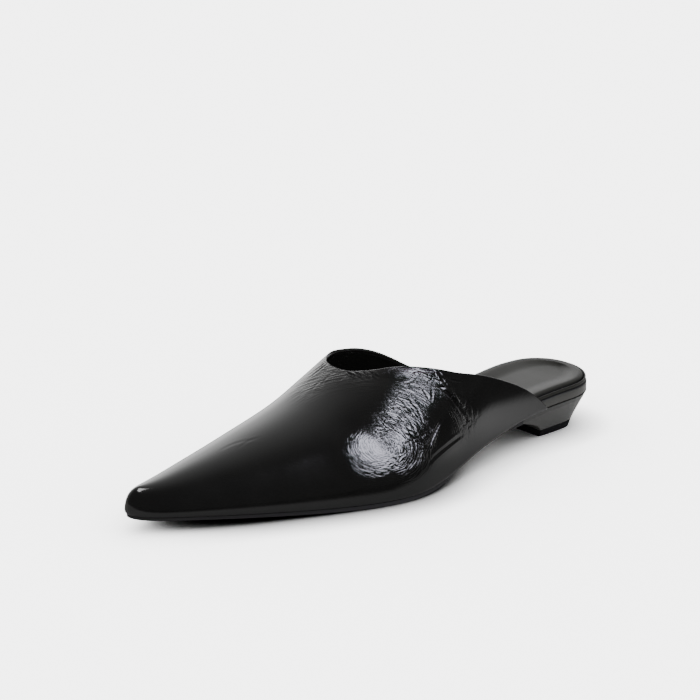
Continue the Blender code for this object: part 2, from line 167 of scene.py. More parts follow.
# %% Smooth curves through the tables
def spline(places, values):
    """A natural cubic spline through the points, as a function of an array."""
    x, y = np.asarray(places, float), np.asarray(values, float)
    step, rise = np.diff(x), np.diff(y) / np.diff(x)
    matrix, right = np.eye(len(x)), np.zeros(len(x))
    for i in range(1, len(x) - 1):
        matrix[i, i - 1 : i + 2] = step[i - 1], 2 * (step[i - 1] + step[i]), step[i]
        right[i] = 6 * (rise[i] - rise[i - 1])
    bend = np.linalg.solve(matrix, right)

    def value(at):
        at = np.asarray(at, float)
        i = np.clip(np.searchsorted(x, at) - 1, 0, len(x) - 2)
        a, b, h = x[i + 1] - at, at - x[i], step[i]
        curved = (bend[i] * a**3 + bend[i + 1] * b**3) / (6 * h)
        return curved + (y[i] / h - bend[i] * h / 6) * a + (y[i + 1] / h - bend[i + 1] * h / 6) * b

    return value


def smooth_step(value):
    t = np.clip(value, 0.0, 1.0)
    return t * t * (3 - 2 * t)


def share_of(turn):
    """Share of LENGTH at a turn: 0 at the toe tip, 1 or -1 at the back of the heel."""
    return (1 - np.cos(np.pi * np.abs(turn))) / 2


def turn_of(share):
    return np.arccos(1 - 2 * np.clip(share, 0.0, 1.0)) / np.pi


# %% The outline, moved inwards by any amount
def outline_rows():
    rows = [(turn_of(share), size * outer, -size * inner) for share, size, outer, inner in OUTLINE]
    for part in SEAT_ROUND_SHARES:
        half = SEAT_WIDTH / 2 * math.sqrt(1 - (1 - part) ** 2)
        rows.append((turn_of(1 - part * SEAT_ROUND / LENGTH), half, -half))
    inner = [(-turn, low) for turn, _, low in reversed(rows[1:])]
    outer = [(turn, high) for turn, high, _ in rows]
    return [(-1.0, 0.0), *inner, *outer, (1.0, 0.0)]


across = spline(*zip(*outline_rows()))
widths = across(np.linspace(-1, 1, 400))
AXIS_X = -(widths.max() + widths.min()) / 2
TIP_Y = -(LENGTH - BOARD_INSET) / 2


def outline(turn, inset=0.0):
    """(x, y) on the outline, moved inwards by inset."""
    low, high = turn - SHARE_STEP, turn + SHARE_STEP
    run_x = across(np.where(high > 1, high - 2, high)) - across(np.where(low < -1, low + 2, low))
    run_y = LENGTH * (share_of(high) - share_of(low))
    size = np.hypot(run_x, run_y)
    x, y = across(turn), TIP_Y + LENGTH * share_of(turn)
    return x + AXIS_X - inset * run_y / size, y + inset * run_x / size


print("heel's centre line at x =", round(float(AXIS_X), 4))


# %% [markdown]
# Seen from the side, the shoe lies on the floor at the ball, lifts at the toe and climbs over the waist to
# the heel. The line where the upper meets the sole is the feather line, and heights are counted from it.

# %% Heights: the sole's top, the ridge and the topline
def hump(share, places):
    """0 outside the four places, 1 between the middle two."""
    start, full, ease, end = places
    return smooth_step((share - start) / (full - start)) * smooth_step((end - share) / (end - ease))


def feather(share):
    """Height of the feather line, where the upper meets the sole."""
    spring = np.maximum((TREAD_FRONT - share) / TREAD_FRONT, 0.0) ** TOE_SPRING_POWER
    climb = smooth_step((share - TREAD_BACK) / (WAIST_END - TREAD_BACK))
    tilt = np.maximum((share - TILT_START) / (1 - TILT_START), 0.0) ** 2
    sole = SOLE_TOE_THICKNESS + (SOLE_THICKNESS - SOLE_TOE_THICKNESS) * smooth_step(share / TREAD_FRONT)
    rise = TOE_SPRING * spring + SEAT_RISE * climb + SEAT_TILT * tilt - WAIST_DIP * hump(share, WAIST_DIPS)
    return rise + sole + GAP


ridge_places, *ridge_columns = zip(*RIDGE)
ridge_x, ridge_z, outer_fullness, inner_fullness = [spline(ridge_places, column) for column in ridge_columns]


def topline_curve(rows):
    places, heights = zip(*rows)
    return spline([0.0, *[math.sqrt(place - THROAT) for place in places]], [ridge_z(THROAT), *heights])


outer_topline, inner_topline = topline_curve(OUTER_TOPLINE), topline_curve(INNER_TOPLINE)


def ridge(share, depth):
    """(x, y, z) of the ridge above a section, depth below the skin."""
    place = share + NOSE_DEPTH / LENGTH * np.exp(-share / (NOSE_FADE / 2))
    x = AXIS_X + BALL_WIDTH * ridge_x(place)
    return x, TIP_Y + LENGTH * place, feather(share) + INSTEP_HEIGHT * ridge_z(place) - depth


def fullness(turn):
    share = share_of(turn)
    outer = smooth_step(0.5 + turn / (2 * FULLNESS_BLEND))
    return inner_fullness(share) + (outer_fullness(share) - inner_fullness(share)) * outer


# %% [markdown]
# A section across the upper is a barrel of two unlike halves. A superellipse draws each half, and its power
# says how full it is. One function gives every place, so leather, creases and lining share one shape.

# %% A point of the upper
UPPER_TUCK = 0.0006  # the leather turns in at its lower edge
UPPER_TUCK_HEIGHT = 0.0020
ROUNDING = 1e-9  # shares closer together than this are the same


def top_angle(turn):
    """The section's angle at the upper's top edge: a right angle as far as the throat."""
    share = share_of(turn)
    root = np.sqrt(np.maximum(share - THROAT, 0.0))
    height = INSTEP_HEIGHT * np.maximum(np.where(turn > 0, outer_topline(root), inner_topline(root)), 0.0)
    reach = np.minimum(height / (ridge(share, 0.0)[2] - feather(share)), 1.0)
    return np.where(share > THROAT + ROUNDING, np.arcsin(reach ** (fullness(turn) / 2)), np.pi / 2)


def upper_point(turn, rise, depth):
    """Places on the upper: rise goes from 0 at the feather line to 1 at the ridge or the topline."""
    turn, rise, depth = np.broadcast_arrays(turn, rise, depth)
    share, power, angle = share_of(turn), 2 / fullness(turn), rise * top_angle(turn)
    out = np.maximum(np.cos(angle), 0.0) ** power
    up = np.maximum(np.sin(angle), 0.0) ** power
    top_x, top_y, top_z = ridge(share, depth)
    _, next_y, next_z = ridge(share + SHARE_STEP, 0.0)
    _, this_y, this_z = ridge(share, 0.0)
    foot_z, foot_y = feather(share), outline(turn, depth)[1]
    leaning = (next_z - this_z) / (next_y - this_y) * (foot_y - top_y) * out * up**2
    z = foot_z + (top_z - foot_z) * up + leaning
    low = np.maximum(1 - (z - foot_z) / UPPER_TUCK_HEIGHT, 0.0)
    foot_x, foot_y = outline(turn, depth + np.where(depth == 0.0, UPPER_TUCK * low**2, 0.0))
    return np.stack([top_x + (foot_x - top_x) * out, top_y + (foot_y - top_y) * out, z], axis=-1)


print("throat at", upper_point(turn_of(THROAT), 1.0, 0.0).round(4))

# %% [markdown]
# A sheet of leather starts flat. Here a flat grid of faces stands for it: an array gives each corner of the
# grid its place on the last, the doubles along the seams are merged, and the shape closes. A grid keeps its
# faces in order, which a gloss needs: one stray face would show as a kink in every reflection.


# %% Lay a grid on the last
MERGE = 1e-6  # places closer together than this become one


def laid_sheet(places, cut=None):
    """A grid with a corner at each of places[column, row]. cut(column, row) says which faces to leave out."""
    columns, rows = places.shape[0] - 1, places.shape[1] - 1
    bm = bmesh.new()
    bmesh.ops.create_grid(bm, x_segments=columns, y_segments=rows, size=0.5)
    if cut:
        gone = []
        for face in bm.faces:
            middle = face.calc_center_median()
            if cut((middle.x + 0.5) * columns, (middle.y + 0.5) * rows):
                gone.append(face)
        bmesh.ops.delete(bm, geom=gone, context="FACES")
    for vert in bm.verts:
        column, row = round((vert.co.x + 0.5) * columns), round((vert.co.y + 0.5) * rows)
        vert.co = places[column, row]
    bmesh.ops.remove_doubles(bm, verts=bm.verts, dist=MERGE)
    bmesh.ops.dissolve_degenerate(bm, edges=bm.edges, dist=MERGE / 10)
    edges = [edge for edge in bm.edges if edge.is_boundary]
    if edges:
        bmesh.ops.holes_fill(bm, edges=edges, sides=0)
    bmesh.ops.recalc_face_normals(bm, faces=bm.faces)
    return bm


def in_scene(name, data):
    """A new object that holds data, unturned and at the origin."""
    made = bpy.data.objects.new(name, data)
    bpy.context.scene.collection.objects.link(made)
    return made


def finished(name, bm, finish, smooth_angle):
    """Turns a bmesh into a smooth-shaded object on the body of the shoe."""
    open_edges = sum(not edge.is_manifold for edge in bm.edges)
    volume = round(bm.calc_volume() * 1e6, 2)
    print(name, len(bm.faces), "faces,", open_edges, "open edges, volume", volume, "cm3")
    mesh = bpy.data.meshes.new(name)
    bm.to_mesh(mesh)
    bm.free()
    mesh.materials.append(finish)
    mesh.shade_smooth()
    mesh.set_sharp_from_angle(angle=math.radians(smooth_angle))
    piece = in_scene(name, mesh)
    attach(piece, "root")
    return piece


def paint(piece, label, places, values):
    """Gives each vertex of a laid sheet the value that belongs to its place."""
    tree = KDTree(len(values))
    for i, place in enumerate(places):
        tree.insert(place, i)
    tree.balance()
    found = [values[tree.find(vert.co)[1]] for vert in piece.data.vertices]
    piece.data.attributes.new(label, "FLOAT", "POINT").data.foreach_set("value", found)


# %% [markdown]
# Two effects are shared by several leathers, so each is a node group with named inputs. The first is the
# grain: small rounded cells with finer noise between them. The second is handling wear: broad clouds that
# make a surface a little duller here and there. Both read Object coordinates, so they stay on the shoe.


# %% Node helpers
def new_group(name, inputs, outputs):
    """An empty shader group with float sockets."""
    group = bpy.data.node_groups.new(name, "ShaderNodeTree")
    for label, value in inputs:
        socket = group.interface.new_socket(label, in_out="INPUT", socket_type="NodeSocketFloat")
        socket.default_value = value
    for label in outputs:
        group.interface.new_socket(label, in_out="OUTPUT", socket_type="NodeSocketFloat")
    return group, group.nodes.new("NodeGroupInput"), group.nodes.new("NodeGroupOutput")


def math_node(tree, operation, first, second=None):
    """A Math node. A number is typed in, and a socket is linked."""
    node = tree.nodes.new("ShaderNodeMath")
    node.operation = operation
    for socket, value in zip(node.inputs, (first, second)):
        if value is None:
            continue
        if isinstance(value, (int, float)):
            socket.default_value = value
        else:
            tree.links.new(value, socket)
    return node.outputs[0]


def mix_node(tree, kind, factor, first, second):
    """A Mix node. A value is typed in, and a socket is linked."""
    node = tree.nodes.new("ShaderNodeMix")
    node.data_type = kind
    for label, value in (("Factor", factor), ("A", first), ("B", second)):
        if isinstance(value, bpy.types.NodeSocket):
            tree.links.new(value, node.inputs[label])
        else:
            node.inputs[label].default_value = value
    return node.outputs["Result"]


def group_node(tree, group, values):
    """A shared group placed in a material, with the values of this material."""
    node = tree.nodes.new("ShaderNodeGroup")
    node.node_tree = group
    for label, value in values.items():
        node.inputs[label].default_value = value
    return node.outputs


def object_place(tree):
    return tree.nodes.new("ShaderNodeTexCoord").outputs["Object"]


# %% Shared group: leather grain
grain_group, taken, given = new_group(
    "leather_grain", [("Cells per metre", 1500.0), ("Noise per metre", 3000.0)], ["Height"]
)
nodes, links = grain_group.nodes, grain_group.links
place = object_place(grain_group)
cells = nodes.new("ShaderNodeTexVoronoi")
cells.feature = "SMOOTH_F1"
fine = nodes.new("ShaderNodeTexNoise")
fine.inputs["Detail"].default_value = 3.0
links.new(place, cells.inputs["Vector"])
links.new(place, fine.inputs["Vector"])
links.new(taken.outputs["Cells per metre"], cells.inputs["Scale"])
links.new(taken.outputs["Noise per metre"], fine.inputs["Scale"])
round_cells = math_node(grain_group, "SUBTRACT", 1.0, cells.outputs["Distance"])
fine_noise = math_node(grain_group, "MULTIPLY", fine.outputs["Fac"], 0.5)
links.new(math_node(grain_group, "ADD", round_cells, fine_noise), given.inputs["Height"])

# %% Shared group: handling wear
wear_group, taken, given = new_group("handling_wear", [("Clouds per metre", 30.0)], ["Wear"])
nodes, links = wear_group.nodes, wear_group.links
clouds = nodes.new("ShaderNodeTexNoise")
clouds.inputs["Detail"].default_value = 5.0
clouds.inputs["Roughness"].default_value = 0.62
links.new(object_place(wear_group), clouds.inputs["Vector"])
links.new(taken.outputs["Clouds per metre"], clouds.inputs["Scale"])
links.new(clouds.outputs["Fac"], given.inputs["Wear"])
print("node groups:", [group.name for group in bpy.data.node_groups])


# %% [markdown]
# Each leather is one Principled shader with two colours mixed by the wear, a roughness that follows the same
# wear, and a bump made by the grain. What is the same all over is typed on the shader's own sockets.


# %% A leather from the shared groups
NOISE_TO_CELLS = 2.3  # how much finer the grain's noise is than its cells
CLOUDS = 30.0  # of wear, per metre
# black of the shade painted into the narrow grooves between pieces
PAINTED_SHADE_BLACK = (0.001, 0.001, 0.001, 1.0)


def leather(name, dark, light, roughness, cells, depth, specular=0.5):
    """roughness is the pair that the wear moves between, and depth the height of the grain in metres. Where
    an attribute of the mesh, named groove, is 1, shade is painted: the leather is painted black, for the
    shadow in the narrow gaps between pieces, and made dull."""
    made = bpy.data.materials.new(name)
    made.use_nodes = True
    tree = made.node_tree
    shader = tree.nodes["Principled BSDF"]
    shader.inputs["Specular IOR Level"].default_value = specular
    sizes = {"Cells per metre": cells, "Noise per metre": cells * NOISE_TO_CELLS}
    grain = group_node(tree, grain_group, sizes)
    wear = group_node(tree, wear_group, {"Clouds per metre": CLOUDS})["Wear"]
    groove = tree.nodes.new("ShaderNodeAttribute")
    groove.attribute_name = "groove"
    colour = mix_node(tree, "RGBA", wear, (*dark, 1.0), (*light, 1.0))
    # Painted shade: where the groove attribute is 1, the colour is painted black for the shadow in the gaps
    # between pieces.
    shaded_colour = mix_node(tree, "RGBA", groove.outputs["Fac"], colour, PAINTED_SHADE_BLACK)
    tree.links.new(shaded_colour, shader.inputs["Base Color"])
    low, high = roughness
    rough = math_node(tree, "ADD", math_node(tree, "MULTIPLY", wear, high - low), low)
    rough = math_node(tree, "MAXIMUM", rough, groove.outputs["Fac"])
    tree.links.new(rough, shader.inputs["Roughness"])
    bump = tree.nodes.new("ShaderNodeBump")
    bump.inputs["Distance"].default_value = depth
    bump.inputs["Strength"].default_value = 1.0
    tree.links.new(grain["Height"], bump.inputs["Height"])
    tree.links.new(bump.outputs["Normal"], shader.inputs["Normal"])
    return made


FOOTBED_LEATHER = leather(
    "footbed_leather", (0.020, 0.020, 0.018), (0.042, 0.042, 0.038), (0.36, 0.54), 1500, 0.00004, specular=0.1
)
BAND_LEATHER = leather(
    "board_cover_leather", (0.038, 0.038, 0.034), (0.068, 0.068, 0.061), (0.34, 0.54), 1500, 0.00005
)
HEEL_LEATHER = leather(
    "heel_cover_leather", (0.022, 0.022, 0.020), (0.044, 0.044, 0.040), (0.32, 0.52), 1400, 0.00005
)
SOLE_LEATHER = leather(
    "sole_edge_black", (0.004, 0.004, 0.004), (0.010, 0.010, 0.010), (0.46, 0.74), 900, 0.00002
)
LIFT_RUBBER = leather(
    "top_piece_rubber", (0.004, 0.004, 0.005), (0.008, 0.008, 0.009), (0.60, 0.80), 2200, 0.00004,
    specular=0.06,
)
print("plain finishes:", [material.name for material in bpy.data.materials])

# %% [markdown]
# The upper is a glazed black leather that has crinkled where the foot bends. Its gloss is a low roughness,
# and its crinkles are of two sizes. The main creases are real troughs and ridges in the mesh, placed further
# down. The finest are a bump of long thin cells with dark lines between them. Two attributes of the mesh say
# how the cells lie: rings, round the flat facet low on the vamp, and rays, fanning out from the facet under
# the topline. A third, named fan, chooses between them, and flex says how strongly the leather is crinkled.

# %% Parts of the crinkle
LINE_WIDTH = 0.22  # of a cell

UPPER_LEATHER = bpy.data.materials.new("glossy_black_leather")
UPPER_LEATHER.use_nodes = True
tree = UPPER_LEATHER.node_tree
shader = tree.nodes["Principled BSDF"]
shader.inputs["IOR"].default_value = 1.52


def attribute(label):
    node = tree.nodes.new("ShaderNodeAttribute")
    node.attribute_name = label
    return node.outputs


def warped(vector, amount, scale):
    """The vector moved about by a noise of the place on the shoe."""
    warp = tree.nodes.new("ShaderNodeTexNoise")
    warp.inputs["Scale"].default_value = scale
    warp.inputs["Detail"].default_value = 4.0
    tree.links.new(object_place(tree), warp.inputs["Vector"])
    shift = tree.nodes.new("ShaderNodeVectorMath")
    shift.operation = "MULTIPLY_ADD"
    shift.inputs[1].default_value = (amount, amount, amount)
    tree.links.new(warp.outputs["Color"], shift.inputs[0])
    tree.links.new(vector, shift.inputs[2])
    return shift.outputs["Vector"]


def cell_plateaus(vector, scale):
    """1 inside the cells, falling to 0 on the lines between them."""
    edges = tree.nodes.new("ShaderNodeTexVoronoi")
    edges.feature = "DISTANCE_TO_EDGE"
    edges.inputs["Scale"].default_value = scale
    tree.links.new(vector, edges.inputs["Vector"])
    plateau = tree.nodes.new("ShaderNodeMapRange")
    plateau.interpolation_type = "SMOOTHSTEP"
    plateau.inputs["From Max"].default_value = LINE_WIDTH
    tree.links.new(edges.outputs["Distance"], plateau.inputs["Value"])
    return plateau.outputs["Result"]


# %% The glossy crinkled leather
CRINKLE_DEPTH = 0.00012
CELL_WARP = (1.4, 150.0)  # how far the thin cells are moved about, in cells, and the noise per metre
FINE_CELLS = 900.0  # per metre
FINE_WARP = (0.0040, 210.0)  # the same for the finest cells, in metres
FINE_HEIGHT = 0.15  # of CRINKLE_DEPTH, and so are the waves along the cells
WAVE_HEIGHT = 1.9
WAVES_PER_CELL = 0.45
UPPER_CLOUDS = 45.0
UPPER_DARK, UPPER_LIGHT = (0.0045, 0.0045, 0.0045, 1.0), (0.0110, 0.0110, 0.0105, 1.0)
GLOSS = (0.08, 0.16)  # roughness where it is unworn and where it is worn

rings, rays = [warped(attribute(label)["Vector"], *CELL_WARP) for label in ("rings", "rays")]
fan = attribute("fan")["Fac"]
long_cells = mix_node(tree, "FLOAT", fan, cell_plateaus(rings, 1.0), cell_plateaus(rays, 1.0))
waves = tree.nodes.new("ShaderNodeTexNoise")
waves.inputs["Scale"].default_value = WAVES_PER_CELL
waves.inputs["Detail"].default_value = 2.0
tree.links.new(mix_node(tree, "VECTOR", fan, rings, rays), waves.inputs["Vector"])
fine_cells = cell_plateaus(warped(object_place(tree), *FINE_WARP), FINE_CELLS)
folds = math_node(tree, "ADD", long_cells, math_node(tree, "MULTIPLY", waves.outputs["Fac"], WAVE_HEIGHT))
folds = math_node(tree, "ADD", folds, math_node(tree, "MULTIPLY", fine_cells, FINE_HEIGHT))
folds = math_node(tree, "MULTIPLY", folds, attribute("flex")["Fac"])
bump = tree.nodes.new("ShaderNodeBump")
bump.inputs["Distance"].default_value = CRINKLE_DEPTH
tree.links.new(folds, bump.inputs["Height"])
tree.links.new(bump.outputs["Normal"], shader.inputs["Normal"])
wear = group_node(tree, wear_group, {"Clouds per metre": UPPER_CLOUDS})["Wear"]
tree.links.new(mix_node(tree, "RGBA", wear, UPPER_DARK, UPPER_LIGHT), shader.inputs["Base Color"])
gloss = math_node(tree, "ADD", math_node(tree, "MULTIPLY", wear, GLOSS[1] - GLOSS[0]), GLOSS[0])
tree.links.new(gloss, shader.inputs["Roughness"])
print("upper leather:", len(tree.nodes), "nodes")

# %% [markdown]
# The upper is one sheet: it starts inside at its lower edge, comes round under the edge, climbs over the skin
# to the topline, folds over it and goes down inside as the lining. Columns run round the shoe, closer
# together at the throat, where the topline turns sharply.

# %% Stations of the upper
FRONT_COLUMNS = 150
OUTER_BACK_COLUMNS = 170
INNER_BACK_COLUMNS = 110
SKIN_ROWS = 130
RIM_ANGLES = ((1, 30), (1, 60), (1, 90), (0, 90), (-1, 90), (-1, 60), (-1, 30))
RIM_ROWS = len(RIM_ANGLES) + 1
LINING_ROWS = 14
FRONT_CROWDING, BACK_CROWDING = 1.5, 1.9  # powers that bring the columns closer together at the throat


def side_turns(end, back_columns):
    """Turns from the throat's front to the end of one side."""
    throat = turn_of(THROAT)
    steps = np.arange(1, FRONT_COLUMNS + 1) / FRONT_COLUMNS
    front = throat * (1 - (1 - steps) ** FRONT_CROWDING)
    back_steps = np.arange(1, back_columns + 1) / back_columns
    back = throat + (turn_of(end) - throat) * back_steps**BACK_CROWDING
    return np.concatenate([front, back])


inner_turns = side_turns(INNER_TOPLINE[-1][0], INNER_BACK_COLUMNS)
outer_turns = side_turns(OUTER_TOPLINE[-1][0], OUTER_BACK_COLUMNS)
turns = np.concatenate([-inner_turns[::-1], [0.0], outer_turns])
INNER_THROAT, OUTER_THROAT = INNER_BACK_COLUMNS, INNER_BACK_COLUMNS + 2 * FRONT_COLUMNS
print("stations round the upper:", len(turns))


# %% [markdown]
# A crease is a soft trough with a low ridge on both sides. Its line runs through three places on the last,
# each a share of the length and a rise between sole and top edge, so it moves with the shoe. The table
# follows how the leather bent: bands of parallel creases over the widest part of the foot, rings round the
# flat facet below them, a fan towards the back and short pleats below the throat.

# %% Creases of the outer side
# Place and rise at the start, in the middle and at the end, then depth and width in metres
CREASES = [
    # parallel bands across the vamp
    (0.462, 0.80, 0.480, 0.64, 0.492, 0.47, 0.00012, 0.00048),
    (0.455, 0.72, 0.471, 0.58, 0.482, 0.43, 0.00014, 0.00044),
    (0.446, 0.66, 0.462, 0.54, 0.473, 0.39, 0.00014, 0.00048),
    (0.436, 0.60, 0.452, 0.50, 0.464, 0.38, 0.00013, 0.00044),
    (0.424, 0.52, 0.441, 0.48, 0.456, 0.40, 0.00013, 0.00044),
    (0.414, 0.49, 0.432, 0.47, 0.449, 0.42, 0.00010, 0.00038),
    (0.477, 0.79, 0.496, 0.64, 0.499, 0.49, 0.00015, 0.00054),
    (0.470, 0.77, 0.487, 0.63, 0.495, 0.52, 0.00010, 0.00036),
    # rings round the lower facet
    (0.371, 0.47, 0.352, 0.41, 0.362, 0.30, 0.00010, 0.00045),
    (0.376, 0.44, 0.362, 0.35, 0.373, 0.25, 0.00012, 0.00045),
    (0.384, 0.46, 0.372, 0.40, 0.376, 0.31, 0.00009, 0.00042),
    (0.364, 0.24, 0.390, 0.18, 0.422, 0.19, 0.00009, 0.00045),
    (0.377, 0.27, 0.400, 0.22, 0.429, 0.26, 0.00009, 0.00045),
    (0.422, 0.19, 0.442, 0.26, 0.452, 0.33, 0.00019, 0.00052),
    (0.430, 0.24, 0.447, 0.31, 0.450, 0.38, 0.00014, 0.00042),
    (0.458, 0.44, 0.474, 0.38, 0.464, 0.29, 0.00019, 0.00052),
    (0.468, 0.46, 0.482, 0.40, 0.474, 0.28, 0.00017, 0.00049),
    (0.486, 0.45, 0.490, 0.37, 0.478, 0.30, 0.00013, 0.00042),
    # the lone crease behind them and the long fold above the sole
    (0.540, 0.50, 0.520, 0.41, 0.496, 0.29, 0.00040, 0.00065),
    (0.592, 0.32, 0.530, 0.26, 0.500, 0.21, 0.00017, 0.00091),
    # the fan towards the back
    (0.527, 0.93, 0.543, 0.83, 0.569, 0.81, 0.00036, 0.00060),
    (0.549, 0.86, 0.572, 0.73, 0.608, 0.46, 0.00050, 0.00080),
    (0.566, 0.88, 0.582, 0.70, 0.601, 0.54, 0.00046, 0.00075),
    (0.557, 0.85, 0.577, 0.71, 0.603, 0.56, 0.00036, 0.00070),
    (0.517, 0.82, 0.523, 0.76, 0.527, 0.68, 0.00032, 0.00047),
    (0.540, 0.82, 0.537, 0.75, 0.530, 0.67, 0.00032, 0.00047),
    (0.552, 0.80, 0.552, 0.75, 0.548, 0.70, 0.00024, 0.00040),
    (0.574, 0.93, 0.590, 0.90, 0.612, 0.90, 0.00021, 0.00044),
    # the edge of the upper facet
    (0.491, 0.84, 0.510, 0.86, 0.523, 0.93, 0.00012, 0.00047),
    (0.486, 0.99, 0.480, 0.92, 0.486, 0.85, 0.00010, 0.00047),
    # pleats below the throat
    (0.432, 0.99, 0.431, 0.96, 0.434, 0.92, 0.00048, 0.00042),
    (0.438, 0.99, 0.440, 0.96, 0.444, 0.91, 0.00048, 0.00042),
    (0.447, 0.99, 0.449, 0.96, 0.452, 0.92, 0.00048, 0.00042),
    (0.455, 0.99, 0.457, 0.96, 0.460, 0.92, 0.00046, 0.00042),
    (0.419, 0.92, 0.400, 0.93, 0.384, 0.89, 0.00013, 0.00049),
    (0.413, 0.91, 0.390, 0.95, 0.374, 0.93, 0.00014, 0.00049),
    # ripples near the toe
    (0.181, 0.90, 0.212, 0.88, 0.245, 0.77, 0.00004, 0.00077),
    (0.205, 0.80, 0.225, 0.83, 0.250, 0.80, 0.00003, 0.00063),
]
# The inner side bends in the same place, more simply
INNER_CREASES = [
    (0.435, 0.98, 0.412, 0.96, 0.393, 0.93, 0.00016, 0.00049),
    (0.445, 0.97, 0.420, 0.93, 0.400, 0.88, 0.00014, 0.00049),
    (0.470, 0.90, 0.455, 0.72, 0.452, 0.52, 0.00020, 0.00067),
    (0.452, 0.80, 0.438, 0.66, 0.436, 0.48, 0.00020, 0.00063),
    (0.436, 0.72, 0.420, 0.58, 0.421, 0.40, 0.00018, 0.00063),
    (0.490, 0.84, 0.474, 0.66, 0.470, 0.45, 0.00019, 0.00067),
    (0.510, 0.82, 0.500, 0.64, 0.488, 0.46, 0.00016, 0.00059),
    (0.420, 0.50, 0.404, 0.40, 0.410, 0.28, 0.00016, 0.00063),
    (0.530, 0.70, 0.548, 0.56, 0.560, 0.40, 0.00013, 0.00063),
]
CREASE_STEPS = 12
CREASE_WAVE = (0.06, 0.88)  # start and length of the stretch of half a wave that the depth follows
CREASE_FULLNESS = 0.7
SHOULDER_HEIGHT = 0.55  # of the trough's depth
SHOULDER_PLACE, SHOULDER_WIDTH = 1.9, 1.1  # in widths of the trough


def crease_line(row, side):
    """Points of a crease on the skin, on a curve through its three places."""
    t = np.linspace(0, 1, CREASE_STEPS)
    start, middle, end = np.array(row[0:2]), np.array(row[2:4]), np.array(row[4:6])
    pull = 2 * middle - (start + end) / 2
    places = np.outer((1 - t) ** 2, start) + np.outer(2 * t * (1 - t), pull) + np.outer(t * t, end)
    return upper_point(side * turn_of(places[:, 0]), places[:, 1], 0.0)


def distance_to(points, line):
    """Distance of each point from a line, and how far along it the nearest place is."""
    nearest = np.full(len(points), np.inf)
    along = np.zeros(len(points))
    for i, (a, b) in enumerate(zip(line, line[1:])):
        run = b - a
        t = np.clip((points - a) @ run / (run @ run), 0, 1)
        gap = np.linalg.norm(points - a - t[:, None] * run, axis=1)
        closer = gap < nearest
        nearest[closer], along[closer] = gap[closer], (i + t[closer]) / (len(line) - 1)
    return nearest, along


def crease_height(points, row, side):
    """Height that one crease adds: a trough, with a lower ridge on both sides, fading out at both ends."""
    depth, width = row[6:8]
    nearest, along = distance_to(points, crease_line(row, side))
    start, length = CREASE_WAVE
    fade = np.sin(np.pi * (start + length * along)) ** CREASE_FULLNESS
    trough = np.exp(-((nearest / width) ** 2))
    shoulder = np.exp(-(((nearest - SHOULDER_PLACE * width) / (SHOULDER_WIDTH * width)) ** 2))
    return depth * fade * (SHOULDER_HEIGHT * shoulder - trough)


creases = [(row, 1) for row in CREASES] + [(row, -1) for row in INNER_CREASES]
print(len(creases), "creases placed by hand")

# %% [markdown]
# Between the creases the leather has settled into flat facets and low waves, which break a long reflection
# into patches. They are wide and shallow, so they are a table of soft dents and swellings.

# %% Facets and waves
# Side, place, rise, height (+ swells, - dents) and radius in metres
SWELLS = [
    (1, 0.4126, 0.31, -0.00105, 0.0120),
    (1, 0.3600, 0.37, 0.00075, 0.0085),
    (1, 0.503, 0.90, -0.00035, 0.0075),
    (1, 0.500, 0.62, -0.00045, 0.0080),
    (1, 0.478, 0.36, -0.00030, 0.0060),
    (1, 0.372, 0.55, -0.00035, 0.0100),
    (1, 0.560, 0.62, 0.00045, 0.0090),
    (1, 0.585, 0.36, -0.00035, 0.0110),
    (1, 0.470, 0.93, -0.00025, 0.0080),
    (1, 0.640, 0.50, 0.00030, 0.0140),
    (-1, 0.440, 0.55, -0.00035, 0.0090),
    (-1, 0.490, 0.62, 0.00040, 0.0090),
    (-1, 0.530, 0.50, -0.00030, 0.0110),
    (-1, 0.395, 0.60, 0.00030, 0.0110),
]
FLEX_PATH = ((0.395, 0.30), (0.430, 0.48), (0.470, 0.62), (0.505, 0.80), (0.520, 0.95))
FLEX_FAN = ((0.515, 0.90), (0.560, 0.84), (0.590, 0.64), (0.604, 0.50))
FLEX_SIDE = ((0.452, 0.27), (0.482, 0.33), (0.503, 0.42))
FLEX_LEFT = ((0.370, 0.30), (0.366, 0.36), (0.372, 0.44))
FLEX_THROAT = ((0.375, 0.97), (0.405, 0.96), (0.428, 0.96), (0.445, 0.96))
# Path, side, strength and reach in metres
FLEX_BANDS = (
    (FLEX_PATH, 1, 1.0, 0.0085),
    (FLEX_FAN, 1, 1.1, 0.0085),
    (FLEX_SIDE, 1, 1.2, 0.0070),
    (FLEX_LEFT, 1, 1.1, 0.0032),
    (FLEX_THROAT, 1, 0.55, 0.0085),
    (FLEX_PATH, -1, 0.7, 0.0085),
    (FLEX_THROAT, -1, 0.55, 0.0085),
)
LEAST_FLEX = 0.03  # on the smooth toe
# Facets that stayed smooth: side, place, rise and radius
SMOOTH_FACETS = ((1, 0.4080, 0.33, 0.0090), (1, 0.500, 0.91, 0.0050))
FACET_SMOOTHNESS = 0.94


def spot(points, side, place, rise, radius):
    """1 at a place on the skin, falling to nothing about two radii away."""
    middle = upper_point(side * turn_of(place), rise, 0.0)
    return np.exp(-((np.linalg.norm(points - middle, axis=1) / radius) ** 2))


def swell_height(points):
    total = np.zeros(len(points))
    for side, place, rise, height, radius in SWELLS:
        total += height * spot(points, side, place, rise, radius)
    return total


def flex_of(points):
    """How strongly the leather is crinkled: 1 and more on the bend, and almost 0 on the smooth facets."""
    strength = np.full(len(points), LEAST_FLEX)
    for path, side, most, reach in FLEX_BANDS:
        places = np.array(path)
        nearest, _ = distance_to(points, upper_point(side * turn_of(places[:, 0]), places[:, 1], 0.0))
        strength = np.maximum(strength, most * np.exp(-((nearest / reach) ** 2)))
    for side, place, rise, radius in SMOOTH_FACETS:
        strength *= 1 - FACET_SMOOTHNESS * spot(points, side, place, rise, radius)
    return strength


print(len(SWELLS), "dents and swellings,", len(FLEX_BANDS), "crinkled bands")

